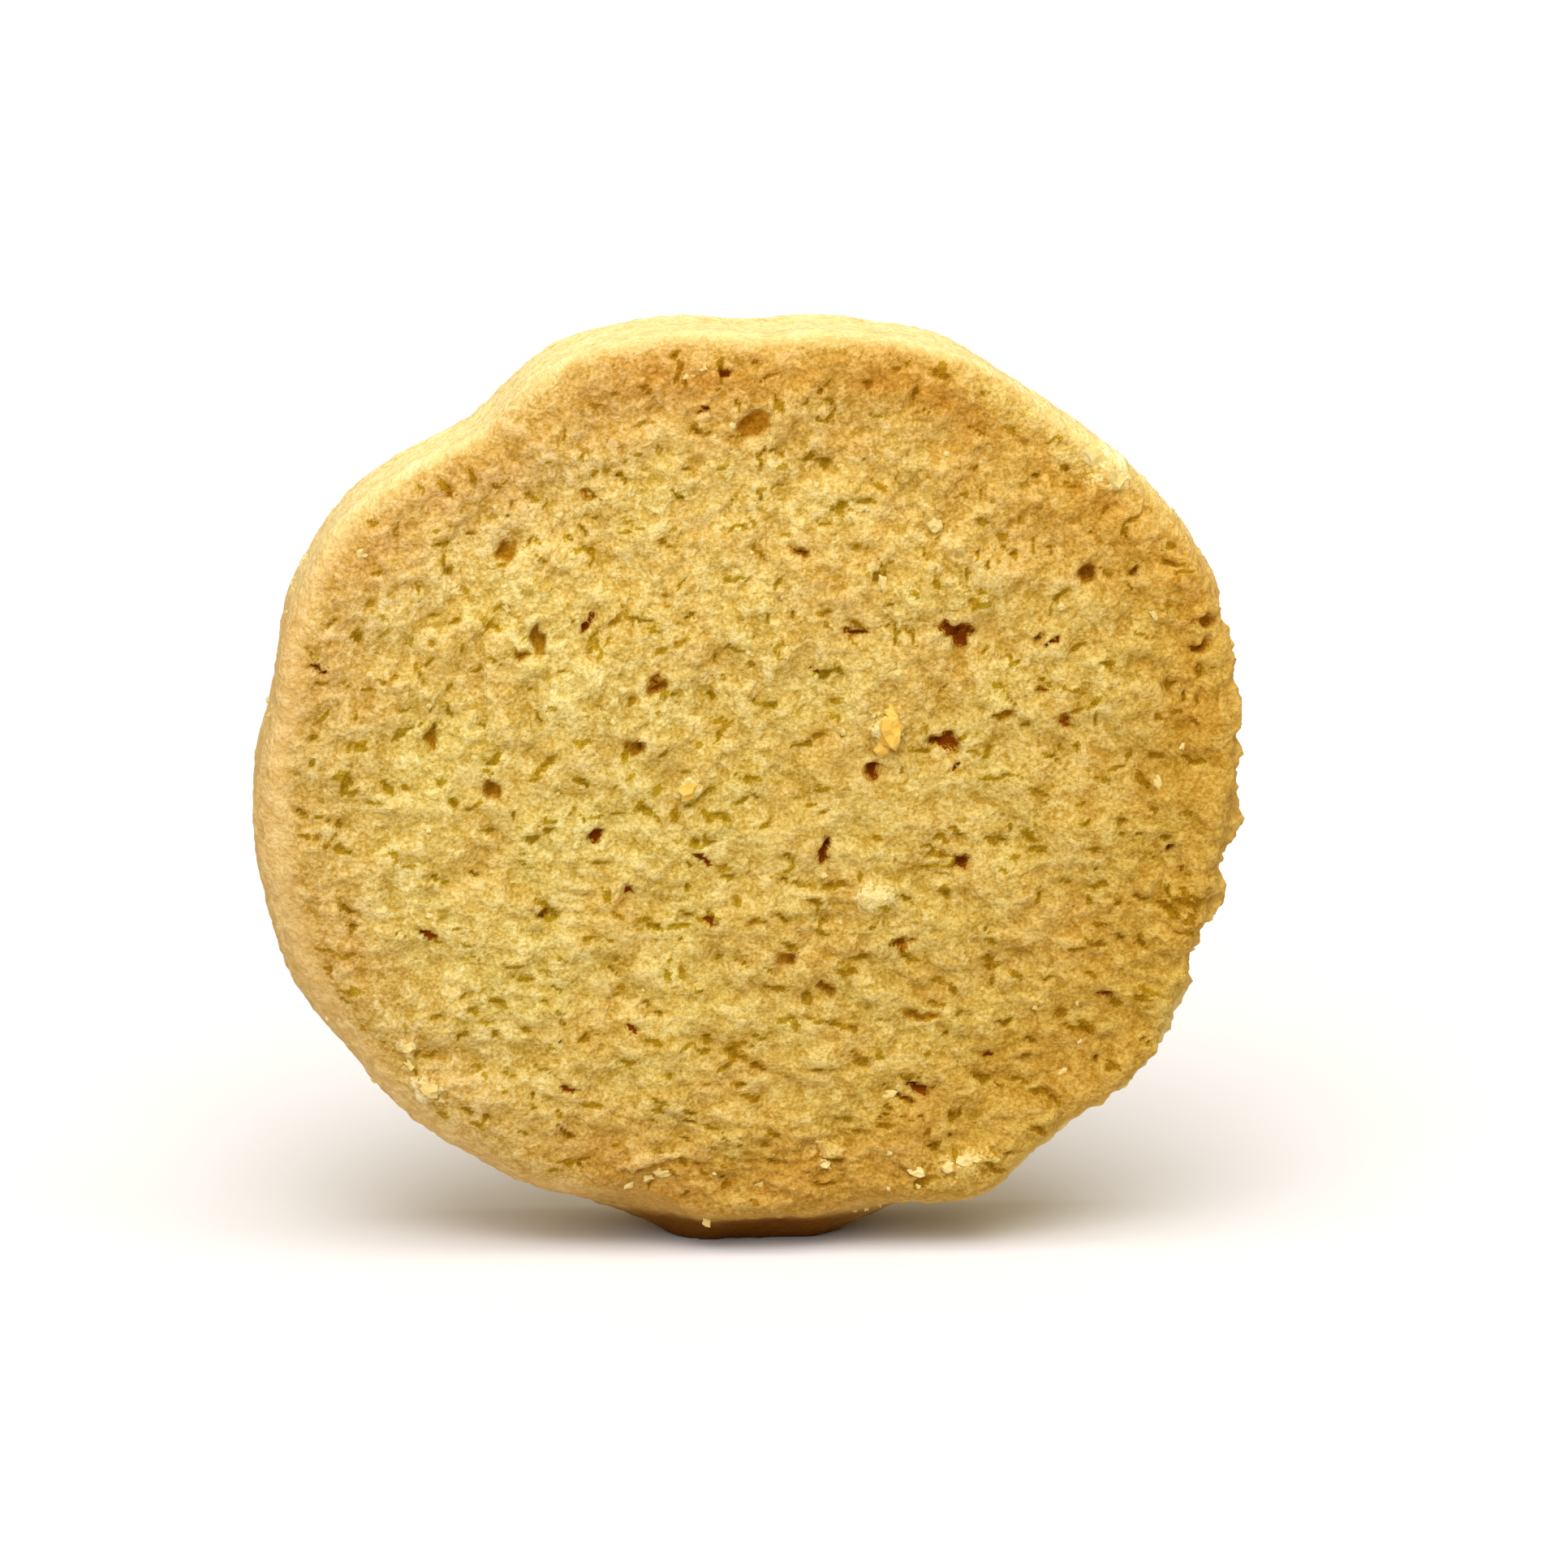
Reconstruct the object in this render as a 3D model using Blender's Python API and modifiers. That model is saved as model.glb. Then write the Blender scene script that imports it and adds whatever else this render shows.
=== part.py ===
"""A shortbread biscuit: one thick round slice of dough, baked pale, standing on its edge.

The crumbly cut face looks along -Y, the back looks along +Y, and the biscuit stands on a short flat of
its edge at Z = 0. The origin is on that surface, under the middle of the biscuit. Lengths are in metres.
Angles are in degrees, anticlockwise from +X as seen from the front.
"""

import math
from collections import namedtuple

import bmesh
import bpy
from mathutils import Matrix, Vector, noise

MM = 0.001

# Driving sizes
WIDTH = 53.1 * MM
HEIGHT = 49.9 * MM
THICKNESS = 12.6 * MM
SHOULDER_RADIUS = 3.0 * MM
FOOT_BELOW_MIDDLE = 25.7 * MM
FOOT_FLATTENED = 0.6 * MM

# How the outline strays from an ellipse, where the dough slumped, was pressed or tore
Swell = namedtuple("Swell", "angle spread height")
SWELLS = (
    Swell(angle=-3, spread=14, height=-0.05 * MM),
    Swell(angle=29, spread=15, height=1.1 * MM),
    Swell(angle=63, spread=10, height=0.4 * MM),
    Swell(angle=90, spread=9, height=-0.75 * MM),
    Swell(angle=128, spread=9, height=-1.3 * MM),
    Swell(angle=154, spread=10, height=0.3 * MM),
    Swell(angle=170, spread=6, height=-0.5 * MM),
    Swell(angle=200, spread=22, height=0.55 * MM),
    Swell(angle=245, spread=6, height=-0.35 * MM),
    Swell(angle=271, spread=12.5, height=1.9 * MM),
    Swell(angle=299, spread=5, height=0.8 * MM),
    Swell(angle=326, spread=9, height=0.9 * MM),
    Swell(angle=340, spread=4, height=-0.5 * MM),
    Swell(angle=350, spread=3, height=-0.45 * MM),
)

# Open pores of the cut face, in millimetres from the biscuit's middle, and crumbs that stand proud of it.
# The slope of each runs between two shares of its radius.
Spot = namedtuple("Spot", "x z width height turn depth")
PORES = (
    Spot(x=11.0, z=8.1, width=2.4, height=1.8, turn=-12, depth=1.3),
    Spot(x=-11.5, z=8.1, width=1.2, height=1.9, turn=12, depth=1.0),
    Spot(x=-13.2, z=12.9, width=1.4, height=1.6, turn=-35, depth=1.0),
    Spot(x=-5.2, z=5.5, width=1.6, height=1.2, turn=38, depth=1.0),
    Spot(x=-6.4, z=2.3, width=1.5, height=0.9, turn=-30, depth=0.8),
    Spot(x=-14.0, z=0.0, width=1.5, height=1.1, turn=-42, depth=0.9),
    Spot(x=6.4, z=0.7, width=1.4, height=1.2, turn=0, depth=1.1),
    Spot(x=10.3, z=2.4, width=2.2, height=1.1, turn=-10, depth=1.0),
    Spot(x=3.8, z=-3.3, width=0.9, height=1.7, turn=-8, depth=1.1),
    Spot(x=11.2, z=-4.1, width=1.1, height=1.1, turn=0, depth=1.2),
    Spot(x=-8.5, z=-2.4, width=0.9, height=1.2, turn=-30, depth=0.9),
    Spot(x=17.9, z=11.5, width=1.3, height=1.2, turn=0, depth=1.0),
    Spot(x=2.4, z=12.6, width=1.5, height=0.9, turn=-25, depth=0.9),
    Spot(x=0.1, z=19.7, width=2.2, height=1.9, turn=20, depth=0.7),
    Spot(x=9.2, z=-12.5, width=3.4, height=0.9, turn=-6, depth=0.7),
    Spot(x=24.2, z=8.7, width=1.3, height=1.1, turn=0, depth=0.9),
    Spot(x=24.2, z=7.4, width=1.3, height=1.0, turn=0, depth=1.0),
)
CRUMBS = (
    Spot(x=19.0, z=16.8, width=2.4, height=2.0, turn=-20, depth=0.5),
    Spot(x=7.0, z=3.1, width=1.7, height=2.4, turn=10, depth=0.5),
    Spot(x=-18.8, z=-13.9, width=1.4, height=1.0, turn=-20, depth=0.5),
    Spot(x=-17.7, z=-16.1, width=1.9, height=1.3, turn=-40, depth=0.5),
    Spot(x=-5.8, z=-21.3, width=3.6, height=1.3, turn=14, depth=0.5),
    Spot(x=4.0, z=-20.6, width=2.0, height=1.4, turn=-18, depth=0.45),
    Spot(x=11.2, z=-20.6, width=3.8, height=1.3, turn=14, depth=0.5),
)

SLOPE_FROM = 0.35
SLOPE_TO = 1.25

# Relief of the cut face: coarse crumbs, the knobs on them, and a slow rise and fall
LUMP_SIZE = 3.2 * MM
LUMP_HEIGHT = 0.5 * MM
KNOB_SIZE = 1.5 * MM
KNOB_HEIGHT = 0.5 * MM
SWAY_SIZE = 9.0 * MM
SWAY_HEIGHT = 0.4 * MM
FACE_PRESSED_IN = 0.2 * MM

# The corner between face and side is fuller than its round, save at the lower left, where it has slumped
FULL_CORNER = 0.7 * MM
SOFT_ANGLE = 218
SOFT_SPREAD = 55

# The relief of the face fades in between two distances from the outline, which are longer where the corner
# has slumped, and marks fade in as the surface turns to the front
FACE_FROM = 0.4 * MM
FACE_TO = 1.7 * MM
SOFT_FACE_FROM = 0.9 * MM
SOFT_FACE_TO = 3.3 * MM
MARKS_FROM = 0.3
MARKS_TO = 0.8

# Relief of the back, like the cut face but gentler, and of the smoother baked skin round the side
BACK_SHARE = 0.4
BACK_SHIFT = Vector((0.31, 0.17, 0.23))
SKIN_RIPPLE_SIZE = 4.0 * MM
SKIN_RIPPLE_HEIGHT = 0.25 * MM

# The right-hand edge, where the skin has crumbled away, and the chip out of its front corner
TORN_MIDDLE = -8
TORN_SPREAD = 34
TORN_SIZE = 1.9 * MM
TORN_DEPTH = 0.7 * MM
CHIP_ANGLE = 331
CHIP_SPREAD = 5
CHIP_DEPTH = 0.9 * MM
CHIP_FROM = 0.1
CHIP_TO = 0.6

# The low lip that the cut left along the lower left of the face
LIP_ANGLE = 207
LIP_SPREAD = 26
LIP_WIDTH = 0.7 * MM
LIP_HEIGHT = 0.3 * MM

# The underside of the foot rises toward the face, so that the face ends above the surface it stands on
RISE_HEIGHT = 2.2 * MM
RISE_ANGLE = 269
RISE_WHOLE = 8
RISE_ENDS = 28
RISE_FROM = -0.5 * MM
RISE_TO = -5.0 * MM
RISE_INSET = 9.0 * MM

# Meshing
OUTLINE_POINTS = 180
SHOULDER_STEPS = 5
WELD_REACH = 0.01 * MM
VOXEL = 0.5 * MM
FOOT_CUTTER_HEIGHT = 10.0 * MM
TRIANGLE_TARGET = 11_600

# Look of the baked dough
CRUMB_COLOUR = (0.66, 0.43, 0.12, 1.0)
CRUMB_ROUGHNESS = 0.85


def clear_scene():
    for thing in list(bpy.data.objects):
        bpy.data.objects.remove(thing)


def smooth_step(low, high, value):
    """0 below low, 1 above high, and an even rise between them."""
    share = min(1.0, max(0.0, (value - low) / (high - low)))
    return share * share * (3.0 - 2.0 * share)


def bell(angle, middle, spread):
    """1 at the middle angle, falling off to both sides of it."""
    turn = (angle - middle + 180.0) % 360.0 - 180.0
    return math.exp(-((turn / spread) ** 2))


def rim_radius(angle):
    """How far the outline lies from the biscuit's middle at an angle, before the foot is flattened."""
    sine = math.sin(math.radians(angle))
    cosine = math.cos(math.radians(angle))
    radius = (WIDTH / 2) * (HEIGHT / 2) / math.hypot(HEIGHT / 2 * cosine, WIDTH / 2 * sine)
    radius += sum(swell.height * bell(angle, swell.angle, swell.spread) for swell in SWELLS)
    lowest = FOOT_BELOW_MIDDLE + FOOT_FLATTENED
    if -sine * radius > lowest:
        return -lowest / sine
    return radius


def make_slice():
    """The plain slice as a mesh: the outline, extruded, with its two edges rounded over."""
    curve = bpy.data.curves.new("slice_outline", "CURVE")
    curve.dimensions = "2D"
    curve.fill_mode = "BOTH"
    curve.extrude = THICKNESS / 2 - SHOULDER_RADIUS
    curve.bevel_depth = SHOULDER_RADIUS
    curve.bevel_resolution = SHOULDER_STEPS
    curve.offset = -SHOULDER_RADIUS
    spline = curve.splines.new("POLY")
    spline.points.add(OUTLINE_POINTS - 1)
    for i, point in enumerate(spline.points):
        angle = 360.0 * i / OUTLINE_POINTS
        radius = rim_radius(angle)
        point.co = (radius * math.cos(math.radians(angle)), radius * math.sin(math.radians(angle)), 0.0, 1.0)
    spline.use_cyclic_u = True

    outline = bpy.data.objects.new("slice_outline", curve)
    bpy.context.scene.collection.objects.link(outline)
    outline.rotation_euler = (math.radians(90.0), 0.0, 0.0)
    bpy.context.view_layer.update()

    graph = bpy.context.evaluated_depsgraph_get()
    mesh = bpy.data.meshes.new_from_object(outline.evaluated_get(graph))
    mesh.transform(outline.matrix_world)
    bpy.data.objects.remove(outline)
    weld(mesh)
    return mesh


def weld(mesh):
    """Joins the curve's loose caps to its sides."""
    welded = bmesh.new()
    welded.from_mesh(mesh)
    bmesh.ops.remove_doubles(welded, verts=welded.verts, dist=WELD_REACH)
    bmesh.ops.recalc_face_normals(welded, faces=welded.faces)
    welded.to_mesh(mesh)
    welded.free()


def remeshed(mesh):
    """The same form on an even grid of small faces, ready to be pushed in and out."""
    block = bpy.data.objects.new("slice_block", mesh)
    bpy.context.scene.collection.objects.link(block)
    grid = block.modifiers.new("even_grid", "REMESH")
    grid.mode = "VOXEL"
    grid.voxel_size = VOXEL
    graph = bpy.context.evaluated_depsgraph_get()
    even = bpy.data.meshes.new_from_object(block.evaluated_get(graph))
    bpy.data.objects.remove(block)
    return even


def lumps(point):
    """Height above the cut face of the coarse crumbs, their knobs and the slow rise and fall."""
    height = LUMP_HEIGHT * noise.noise(point / LUMP_SIZE) + KNOB_HEIGHT * noise.noise(point / KNOB_SIZE)
    return height + SWAY_HEIGHT * noise.noise(point / SWAY_SIZE)


def skin(point):
    """The smoother baked skin of the side."""
    return SKIN_RIPPLE_HEIGHT * noise.noise(point / SKIN_RIPPLE_SIZE)


def torn(point, angle):
    """Crags where the edge has crumbled, as a height below the skin."""
    share = bell(angle, TORN_MIDDLE, TORN_SPREAD)
    return -TORN_DEPTH * share * (0.5 - 0.5 * noise.noise(point / TORN_SIZE))


def spot_share(spot, x, z):
    """1 in the middle of a spot and 0 past its edge."""
    turn = math.radians(spot.turn)
    dx = x - spot.x * MM
    dz = z - spot.z * MM
    along = (dx * math.cos(turn) + dz * math.sin(turn)) / (spot.width * MM / 2)
    over = (dz * math.cos(turn) - dx * math.sin(turn)) / (spot.height * MM / 2)
    return 1.0 - smooth_step(SLOPE_FROM, SLOPE_TO, math.hypot(along, over))


def spots(x, z):
    """Height of the crumbs less depth of the pores at a place of the cut face."""
    height = sum(crumb.depth * spot_share(crumb, x, z) for crumb in CRUMBS)
    depth = sum(pore.depth * spot_share(pore, x, z) for pore in PORES)
    return (height - depth) * MM


def lip(angle, inset):
    """The low ridge between the face and the shoulder."""
    off_line = (inset - SHOULDER_RADIUS) / LIP_WIDTH
    return LIP_HEIGHT * bell(angle, LIP_ANGLE, LIP_SPREAD) * math.exp(-off_line * off_line)


def corner(angle, normal):
    """How far the corner between face or back and side stands out from its round."""
    both_ways = 2.0 * abs(normal.y) * math.hypot(normal.x, normal.z)
    return FULL_CORNER * (1.0 - bell(angle, SOFT_ANGLE, SOFT_SPREAD)) * both_ways * both_ways


def relief(point, normal):
    """How far a point of the plain slice moves out along its normal."""
    angle = math.degrees(math.atan2(point.z, point.x))
    inset = rim_radius(angle) - math.hypot(point.x, point.z)
    soft = bell(angle, SOFT_ANGLE, SOFT_SPREAD)
    begins = FACE_FROM + soft * (SOFT_FACE_FROM - FACE_FROM)
    whole = FACE_TO + soft * (SOFT_FACE_TO - FACE_TO)
    on_face = smooth_step(begins, whole, inset)
    on_side = skin(point) + torn(point, angle)
    if normal.y >= 0.0:
        back = BACK_SHARE * lumps(point + BACK_SHIFT)
        return (1.0 - on_face) * on_side + on_face * back + corner(angle, normal)
    on_side -= CHIP_DEPTH * bell(angle, CHIP_ANGLE, CHIP_SPREAD) * smooth_step(CHIP_FROM, CHIP_TO, -normal.y)
    cut = on_face * (lumps(point) - FACE_PRESSED_IN)
    marks = smooth_step(MARKS_FROM, MARKS_TO, -normal.y) * (spots(point.x, point.z) + lip(angle, inset))
    return (1.0 - on_face) * on_side + cut + marks + corner(angle, normal)


def foot_rise(point):
    """How far a point of the foot's front lower edge is lifted; less behind, beside and above it."""
    angle = math.degrees(math.atan2(point.z, point.x))
    inset = rim_radius(angle) - math.hypot(point.x, point.z)
    front = 1.0 - smooth_step(RISE_TO, RISE_FROM, point.y)
    off_middle = abs((angle - RISE_ANGLE + 180.0) % 360.0 - 180.0)
    level = 1.0 - smooth_step(RISE_WHOLE, RISE_ENDS, off_middle)
    return RISE_HEIGHT * front * level * (1.0 - smooth_step(0.0, RISE_INSET, inset))


def push_relief(mesh):
    """Moves every point of the even grid out or in by the relief there, and lifts the front of the foot."""
    places = [vertex.co.copy() for vertex in mesh.vertices]
    normals = [vertex.normal.copy() for vertex in mesh.vertices]
    for vertex, place, normal in zip(mesh.vertices, places, normals):
        vertex.co = place + normal * relief(place, normal)
        vertex.co.z += foot_rise(place)


def stand_on_origin(mesh):
    """Puts the origin under the middle of the biscuit, on the surface it stands on."""
    corners = [vertex.co for vertex in mesh.vertices]
    middle_x = (min(c.x for c in corners) + max(c.x for c in corners)) / 2
    middle_y = (min(c.y for c in corners) + max(c.y for c in corners)) / 2
    for vertex in mesh.vertices:
        vertex.co -= Vector((middle_x, middle_y, -FOOT_BELOW_MIDDLE))


def make_foot_cutter():
    """A block under the surface that the biscuit stands on, which planes the foot flat."""
    block = bmesh.new()
    size = Matrix.Diagonal((WIDTH, 2 * THICKNESS, FOOT_CUTTER_HEIGHT, 1.0))
    bmesh.ops.create_cube(block, size=1.0, matrix=size)
    mesh = bpy.data.meshes.new("foot_cutter")
    block.to_mesh(mesh)
    block.free()

    cutter = bpy.data.objects.new("foot_cutter", mesh)
    cutter.location.z = -FOOT_CUTTER_HEIGHT / 2
    cutter.hide_render = True
    cutter.display_type = "WIRE"
    cutters = bpy.data.collections.new("cutters")
    bpy.context.scene.collection.children.link(cutters)
    cutters.objects.link(cutter)
    return cutter


def dough_material():
    material = bpy.data.materials.new("baked_dough")
    material.use_nodes = True
    surface = material.node_tree.nodes["Principled BSDF"]
    surface.inputs["Base Color"].default_value = CRUMB_COLOUR
    surface.inputs["Roughness"].default_value = CRUMB_ROUGHNESS
    surface.inputs["Metallic"].default_value = 0.0
    return material


def build_biscuit():
    """The whole biscuit, one solid."""
    mesh = remeshed(make_slice())
    push_relief(mesh)
    stand_on_origin(mesh)
    mesh.name = "biscuit"
    mesh.shade_smooth()
    mesh.materials.append(dough_material())

    parts = bpy.data.collections.new("shortbread_biscuit")
    bpy.context.scene.collection.children.link(parts)
    biscuit = bpy.data.objects.new("biscuit", mesh)
    parts.objects.link(biscuit)

    mesh.calc_loop_triangles()
    fewer = biscuit.modifiers.new("fewer_faces", "DECIMATE")
    fewer.ratio = TRIANGLE_TARGET / len(mesh.loop_triangles)
    planed = biscuit.modifiers.new("flat_foot", "BOOLEAN")
    planed.operation = "DIFFERENCE"
    planed.object = make_foot_cutter()


clear_scene()
build_biscuit()
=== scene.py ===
"""Looks of the shortbread biscuit: its fine crumb, baked skin, loose crumbs, light and camera.

The slice is shaped in millimetres about its own middle, with the same outline and lumps as the solid that it
stands for, and is then placed on that solid. Its cut face looks along -Y. Angles are in degrees,
anticlockwise from +X as seen from the front.
"""

import math
import random
from collections import defaultdict, namedtuple

import bmesh
import bpy
import numpy
from mathutils import Matrix, Vector, noise
from mathutils.bvhtree import BVHTree


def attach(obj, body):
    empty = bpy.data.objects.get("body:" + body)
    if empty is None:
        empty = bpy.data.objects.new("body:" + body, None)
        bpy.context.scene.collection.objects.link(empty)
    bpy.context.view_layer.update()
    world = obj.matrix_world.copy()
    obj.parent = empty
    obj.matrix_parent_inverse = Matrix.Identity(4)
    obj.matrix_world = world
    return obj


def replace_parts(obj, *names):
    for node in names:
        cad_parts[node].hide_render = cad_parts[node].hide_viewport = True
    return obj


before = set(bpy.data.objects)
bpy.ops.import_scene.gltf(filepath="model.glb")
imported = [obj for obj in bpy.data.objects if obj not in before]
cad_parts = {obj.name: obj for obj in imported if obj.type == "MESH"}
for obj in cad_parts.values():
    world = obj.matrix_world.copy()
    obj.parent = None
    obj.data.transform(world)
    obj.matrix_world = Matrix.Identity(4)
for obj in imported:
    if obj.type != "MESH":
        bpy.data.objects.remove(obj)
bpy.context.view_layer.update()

MM = 0.001

# The slice, as in the solid
WIDTH = 53.1
HEIGHT = 49.9
THICKNESS = 12.6
SHOULDER_RADIUS = 3.0
FOOT_BELOW_MIDDLE = 25.7
FOOT_FLATTENED = 0.6

Swell = namedtuple("Swell", "angle spread height")
SWELLS = (
    Swell(angle=-3, spread=14, height=-0.05),
    Swell(angle=29, spread=15, height=1.1),
    Swell(angle=63, spread=10, height=0.4),
    Swell(angle=90, spread=9, height=-0.75),
    Swell(angle=128, spread=9, height=-1.3),
    Swell(angle=154, spread=10, height=0.3),
    Swell(angle=170, spread=6, height=-0.5),
    Swell(angle=200, spread=22, height=0.55),
    Swell(angle=245, spread=6, height=-0.35),
    Swell(angle=271, spread=12.5, height=1.9),
    Swell(angle=299, spread=5, height=0.8),
    Swell(angle=326, spread=9, height=0.9),
    Swell(angle=340, spread=4, height=-0.5),
    Swell(angle=350, spread=3, height=-0.45),
)

# Open pores of the cut face; the core is how dark their middle is, as a share of the darkest: painted shade
Pore = namedtuple("Pore", "x z width height turn depth core")
PORES = (
    Pore(x=10.9, z=8.5, width=2.4, height=0.8, turn=-4, depth=0.8, core=0.9),
    Pore(x=11.1, z=7.9, width=1.0, height=1.3, turn=0, depth=0.7, core=0.9),
    Pore(x=-11.5, z=8.1, width=0.9, height=1.7, turn=12, depth=0.8, core=0.1),
    Pore(x=-13.3, z=12.9, width=1.1, height=1.5, turn=-35, depth=0.7, core=0.0),
    Pore(x=-5.2, z=5.6, width=1.5, height=0.9, turn=38, depth=0.8, core=0.5),
    Pore(x=-6.4, z=2.2, width=1.2, height=0.7, turn=-30, depth=0.6, core=0.0),
    Pore(x=-14.0, z=0.0, width=1.2, height=0.9, turn=-42, depth=0.7, core=0.1),
    Pore(x=6.4, z=0.8, width=1.1, height=0.9, turn=0, depth=0.9, core=1.0),
    Pore(x=10.3, z=2.4, width=1.9, height=0.9, turn=-10, depth=0.9, core=0.9),
    Pore(x=3.8, z=-3.3, width=0.7, height=1.5, turn=-8, depth=0.9, core=1.0),
    Pore(x=11.2, z=-4.1, width=1.0, height=1.0, turn=0, depth=0.9, core=1.0),
    Pore(x=-8.6, z=-2.5, width=0.7, height=0.9, turn=-30, depth=0.7, core=0.9),
    Pore(x=17.9, z=11.4, width=1.1, height=1.0, turn=0, depth=0.8, core=0.3),
    Pore(x=2.4, z=12.7, width=1.2, height=0.7, turn=-25, depth=0.7, core=0.6),
    Pore(x=0.1, z=19.7, width=2.0, height=1.5, turn=20, depth=0.7, core=0.0),
    Pore(x=9.2, z=-12.5, width=2.6, height=0.6, turn=-6, depth=0.4, core=0.0),
    Pore(x=24.2, z=8.7, width=1.1, height=0.9, turn=0, depth=0.7, core=0.3),
    Pore(x=24.2, z=7.4, width=1.1, height=0.8, turn=0, depth=0.8, core=0.2),
    Pore(x=-2.7, z=20.4, width=0.8, height=0.6, turn=0, depth=0.6, core=0.9),
    Pore(x=-1.5, z=22.3, width=0.9, height=0.6, turn=-20, depth=0.6, core=0.9),
    Pore(x=5.5, z=8.3, width=1.2, height=0.5, turn=-14, depth=0.6, core=0.9),
    Pore(x=8.0, z=-8.6, width=1.1, height=0.7, turn=10, depth=0.5, core=0.4),
    Pore(x=-2.4, z=-7.2, width=1.1, height=0.5, turn=-25, depth=0.5, core=0.7),
    Pore(x=1.8, z=-9.3, width=1.1, height=0.7, turn=0, depth=0.5, core=0.0),
    Pore(x=4.0, z=-11.0, width=1.0, height=0.6, turn=0, depth=0.5, core=0.1),
    Pore(x=20.3, z=11.6, width=1.0, height=0.5, turn=20, depth=0.6, core=0.4),
    Pore(x=15.5, z=8.0, width=0.8, height=0.6, turn=0, depth=0.6, core=0.6),
    Pore(x=16.7, z=3.5, width=0.8, height=0.8, turn=0, depth=0.6, core=0.6),
    Pore(x=13.5, z=3.8, width=1.3, height=0.5, turn=-10, depth=0.5, core=0.3),
    Pore(x=15.6, z=5.1, width=1.0, height=0.4, turn=-25, depth=0.5, core=0.5),
    Pore(x=-11.4, z=-6.6, width=0.8, height=0.5, turn=0, depth=0.5, core=0.6),
    Pore(x=-17.2, z=2.8, width=1.0, height=0.9, turn=0, depth=0.6, core=0.0),
    Pore(x=-19.9, z=17.2, width=0.7, height=0.5, turn=35, depth=0.5, core=0.4),
    Pore(x=-8.9, z=15.9, width=0.8, height=0.6, turn=15, depth=0.5, core=0.5),
    Pore(x=-7.4, z=16.8, width=0.8, height=0.4, turn=15, depth=0.5, core=0.4),
    Pore(x=-12.4, z=7.4, width=0.7, height=0.5, turn=-30, depth=0.5, core=0.3),
    Pore(x=-16.2, z=15.9, width=0.5, height=0.5, turn=0, depth=0.5, core=0.4),
)

# Low mounds of paler crumb on the cut face
Mound = namedtuple("Mound", "x z width height turn depth")
MOUNDS = (
    Mound(x=19.0, z=16.8, width=2.4, height=2.0, turn=-20, depth=0.5),
    Mound(x=7.0, z=3.1, width=1.4, height=2.3, turn=10, depth=0.5),
    Mound(x=-18.8, z=-13.9, width=1.4, height=1.0, turn=-20, depth=0.5),
    Mound(x=-17.7, z=-16.1, width=1.9, height=1.3, turn=-40, depth=0.5),
    Mound(x=-5.8, z=-21.3, width=3.6, height=1.3, turn=14, depth=0.5),
    Mound(x=4.0, z=-20.6, width=2.0, height=1.4, turn=-18, depth=0.45),
    Mound(x=11.2, z=-20.6, width=3.8, height=1.3, turn=14, depth=0.5),
    Mound(x=-3.4, z=-0.1, width=1.6, height=1.4, turn=0, depth=0.3),
    Mound(x=6.5, z=-6.0, width=2.4, height=1.6, turn=0, depth=0.3),
)
WOBBLE_SEED = 5
MARK_WOBBLE_SIZE = 0.6
MARK_WOBBLE_REACH = 0.4

# Pale loose crumbs: those that can be told apart, and the number of smaller ones strewn over face and edge
Crumb = namedtuple("Crumb", "x z width height turn")
CRUMBS = (
    Crumb(x=9.7, z=14.1, width=0.8, height=0.75, turn=20),
    Crumb(x=5.7, z=3.7, width=0.65, height=0.55, turn=0),
    Crumb(x=6.3, z=4.1, width=0.4, height=0.35, turn=40),
    Crumb(x=4.2, z=8.8, width=0.75, height=0.4, turn=-25),
    Crumb(x=6.9, z=11.0, width=0.45, height=0.9, turn=8),
    Crumb(x=3.3, z=16.2, width=0.4, height=0.55, turn=-10),
    Crumb(x=-2.7, z=22.7, width=0.4, height=0.5, turn=0),
    Crumb(x=-3.5, z=22.2, width=0.7, height=0.35, turn=10),
    Crumb(x=-0.2, z=7.3, width=0.4, height=0.4, turn=0),
    Crumb(x=-20.9, z=12.8, width=0.6, height=0.6, turn=30),
    Crumb(x=-18.7, z=-13.9, width=0.75, height=0.5, turn=15),
    Crumb(x=-17.6, z=-16.1, width=1.0, height=0.7, turn=-25),
    Crumb(x=-16.9, z=-16.8, width=0.5, height=0.4, turn=10),
    Crumb(x=-18.6, z=-14.9, width=0.7, height=0.5, turn=-50),
    Crumb(x=-5.0, z=-20.9, width=0.9, height=0.6, turn=8),
    Crumb(x=-6.8, z=-21.7, width=0.7, height=0.45, turn=15),
    Crumb(x=-5.8, z=-21.2, width=0.8, height=0.5, turn=0),
    Crumb(x=3.8, z=-20.6, width=0.9, height=0.6, turn=-20),
    Crumb(x=0.3, z=-21.8, width=0.6, height=0.4, turn=20),
    Crumb(x=8.8, z=-21.1, width=0.9, height=0.5, turn=-10),
    Crumb(x=10.6, z=-20.8, width=0.8, height=0.55, turn=30),
    Crumb(x=11.4, z=-20.5, width=0.9, height=0.6, turn=-10),
    Crumb(x=12.1, z=-20.4, width=0.6, height=0.45, turn=14),
    Crumb(x=8.9, z=-22.0, width=0.4, height=0.35, turn=0),
    Crumb(x=7.3, z=-16.9, width=0.8, height=0.45, turn=18),
    Crumb(x=16.8, z=-15.8, width=0.5, height=0.4, turn=0),
    Crumb(x=17.7, z=-14.1, width=0.5, height=0.4, turn=0),
    Crumb(x=21.8, z=0.1, width=0.45, height=0.8, turn=15),
    Crumb(x=18.3, z=17.7, width=1.2, height=0.8, turn=-10),
    Crumb(x=19.3, z=16.5, width=1.0, height=0.8, turn=-40),
    Crumb(x=18.5, z=16.6, width=0.6, height=0.5, turn=20),
    Crumb(x=-2.5, z=-23.9, width=0.5, height=0.8, turn=0),
)
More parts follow.
